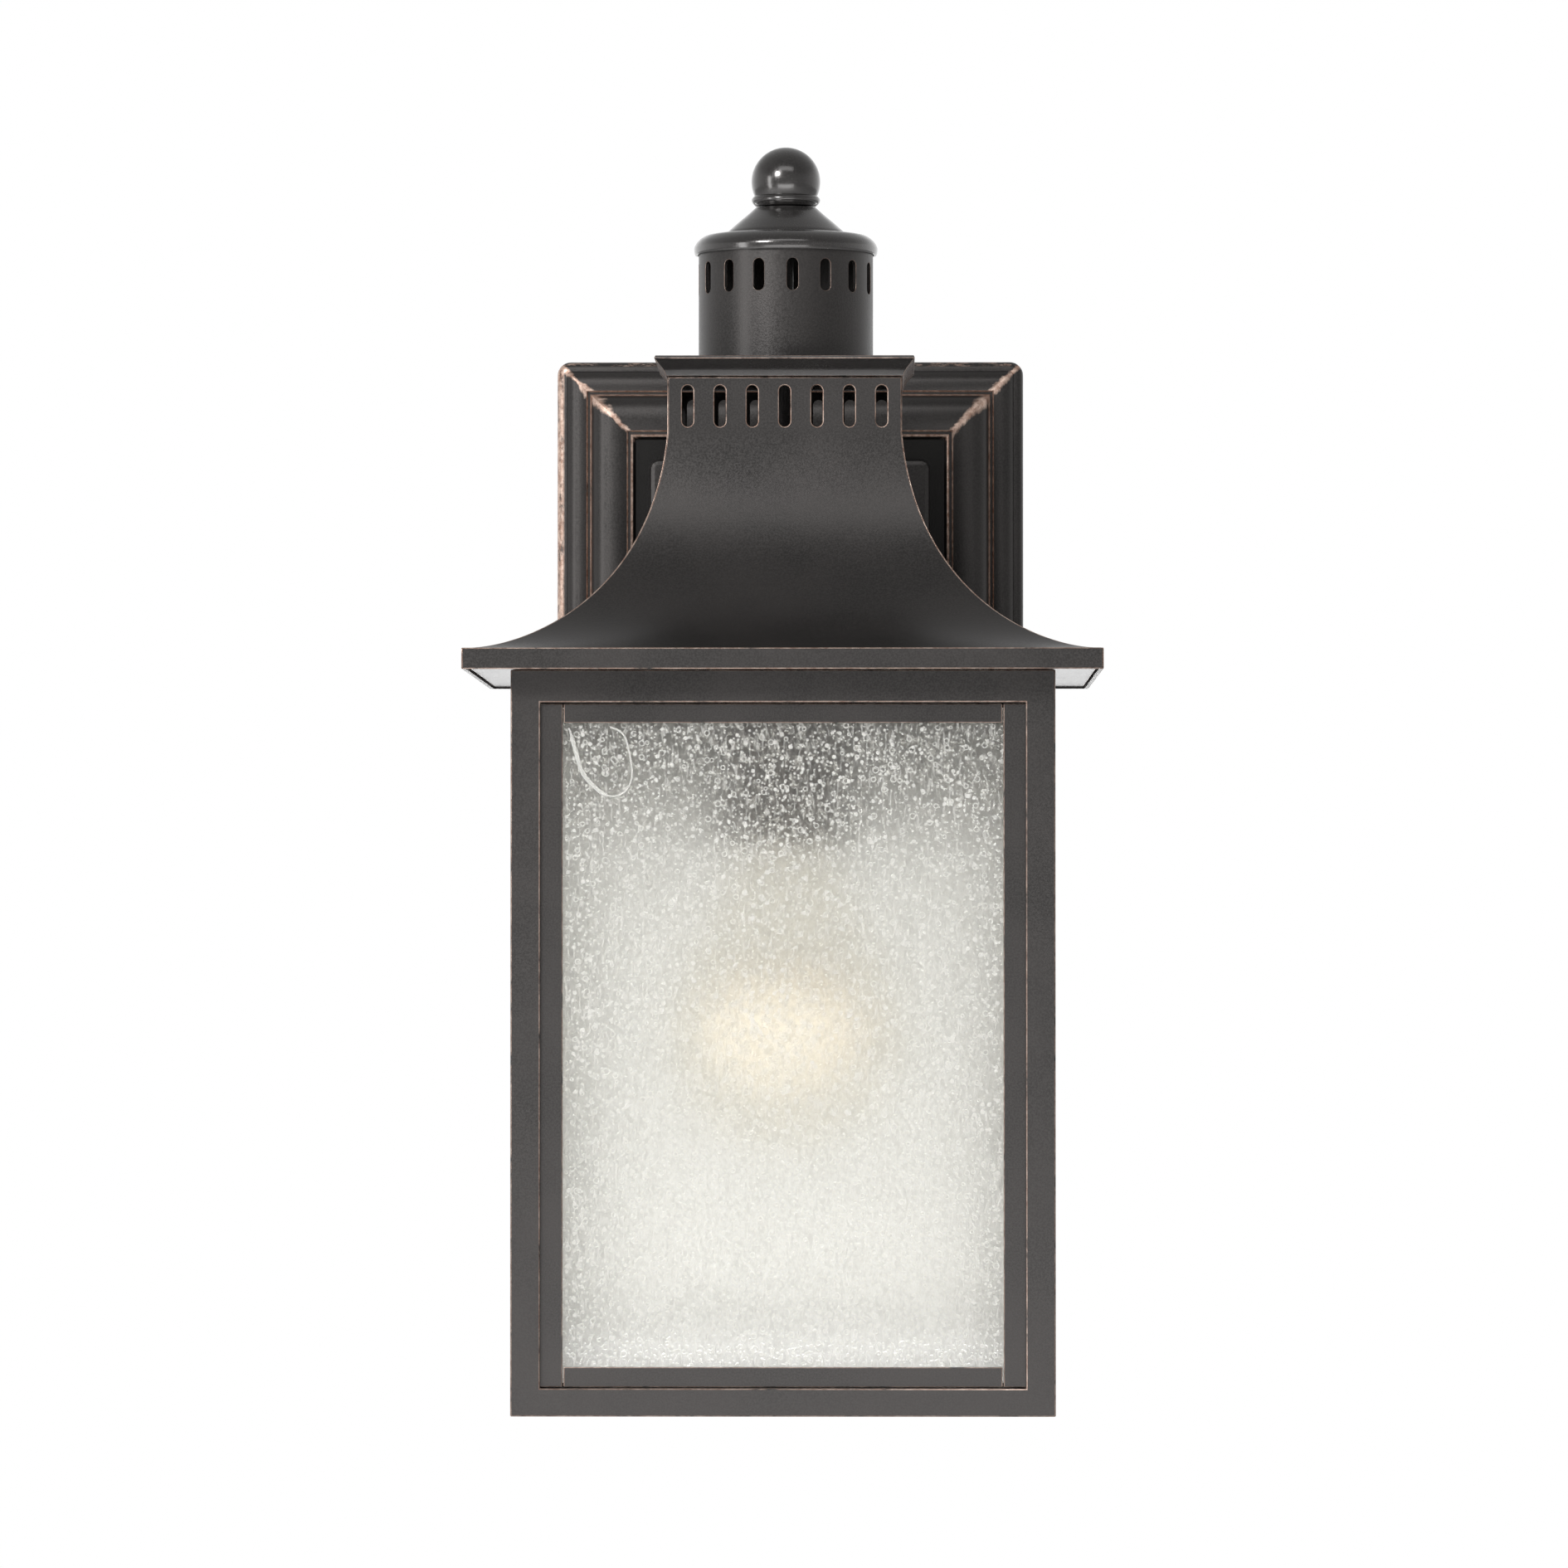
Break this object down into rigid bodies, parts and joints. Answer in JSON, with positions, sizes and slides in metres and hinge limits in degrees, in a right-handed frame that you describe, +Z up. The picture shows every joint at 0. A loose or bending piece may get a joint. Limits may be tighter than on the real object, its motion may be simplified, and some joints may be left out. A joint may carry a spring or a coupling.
{
  "type": "outdoor wall lantern",
  "caption": "Square glazed wall lantern with a flared roof, slotted neck and chimney, ball finial, frosted panes and a moulded wall plate.",
  "frame": {"origin": "centre of the wall plate's back, on the wall", "axes": "+Z up, +Y into the wall, so the lantern stands out towards -Y; +X to the right as seen from the front"},
  "size_m": [0.16, 0.196, 0.324],
  "materials": {
    "bronze": "dark oil-rubbed bronze, satin, copper showing through along edges",
    "frosted_glass": "frosted seeded glass",
    "opal_glass": "inside-frosted lamp glass",
    "brass": "plain brass",
    "porcelain": "dark brown glaze",
    "zinc_steel": "zinc plated",
    "black_insulation": "matte",
    "white_insulation": "matte",
    "bare_copper": "bare copper wire",
    "connector_plastic": "moulded"
  },
  "bodies": {
    "lantern": {"arm": "bronze", "arm_nipple": "zinc_steel", "arm_screw_lower": "zinc_steel", "arm_screw_upper": "zinc_steel", "cage_bottom_frame": "bronze", "cage_top_frame": "bronze", "cap_nut_lower": "bronze", "cap_nut_upper": "bronze", "centre_contact": "brass", "centre_panel": "bronze", "chimney": "bronze", "chimney_cap": "bronze", "corner_post_front_left": "bronze", "corner_post_front_right": "bronze", "corner_post_rear_left": "bronze", "corner_post_rear_right": "bronze", "crossbar": "zinc_steel", "earth_screw": "brass", "finial_rod": "bronze", "glass_front": "frosted_glass", "glass_left": "frosted_glass", "glass_rear": "frosted_glass", "glass_right": "frosted_glass", "glazing_bar_bottom_front": "bronze", "glazing_bar_bottom_left": "bronze", "glazing_bar_bottom_rear": "bronze", "glazing_bar_bottom_right": "bronze", "glazing_bar_top_front": "bronze", "glazing_bar_top_left": "bronze", "glazing_bar_top_rear": "bronze", "glazing_bar_top_right": "bronze", "glazing_channel_front_left": "bronze", "glazing_channel_front_right": "bronze", "glazing_channel_rear_left": "bronze", "glazing_channel_rear_right": "bronze", "holder_body": "porcelain", "holder_locknut": "zinc_steel", "holder_nipple": "zinc_steel", "lead_earth": "bare_copper", "lead_line": "black_insulation", "lead_neutral": "white_insulation", "neck_cap": "bronze", "neck_strap": "zinc_steel", "nipple_nut": "zinc_steel", "rod_nut": "zinc_steel", "roof_pan": "bronze", "roof_panel_front": "bronze", "roof_panel_left": "bronze", "roof_panel_rear": "bronze", "roof_panel_right": "bronze", "screw_shell": "brass", "stud_lower": "zinc_steel", "stud_upper": "zinc_steel", "wall_plate": "bronze", "wire_connector_line": "connector_plastic", "wire_connector_neutral": "connector_plastic"},
    "lamp": {"bulb_base": "brass", "bulb_glass": "opal_glass", "bulb_tip": "zinc_steel"},
    "finial_body": {"finial": "bronze"}
  },
  "joints": [
    {"name": "lamp_unscrew", "type": "slide", "parent": "lantern", "child": "lamp", "axis": [0, 0, -1], "range_m": [0, 0.175]},
    {"name": "finial_unscrew", "type": "slide", "parent": "lantern", "child": "finial_body", "axis": [0, 0, 1], "range_m": [0, 0.012]}
  ]
}
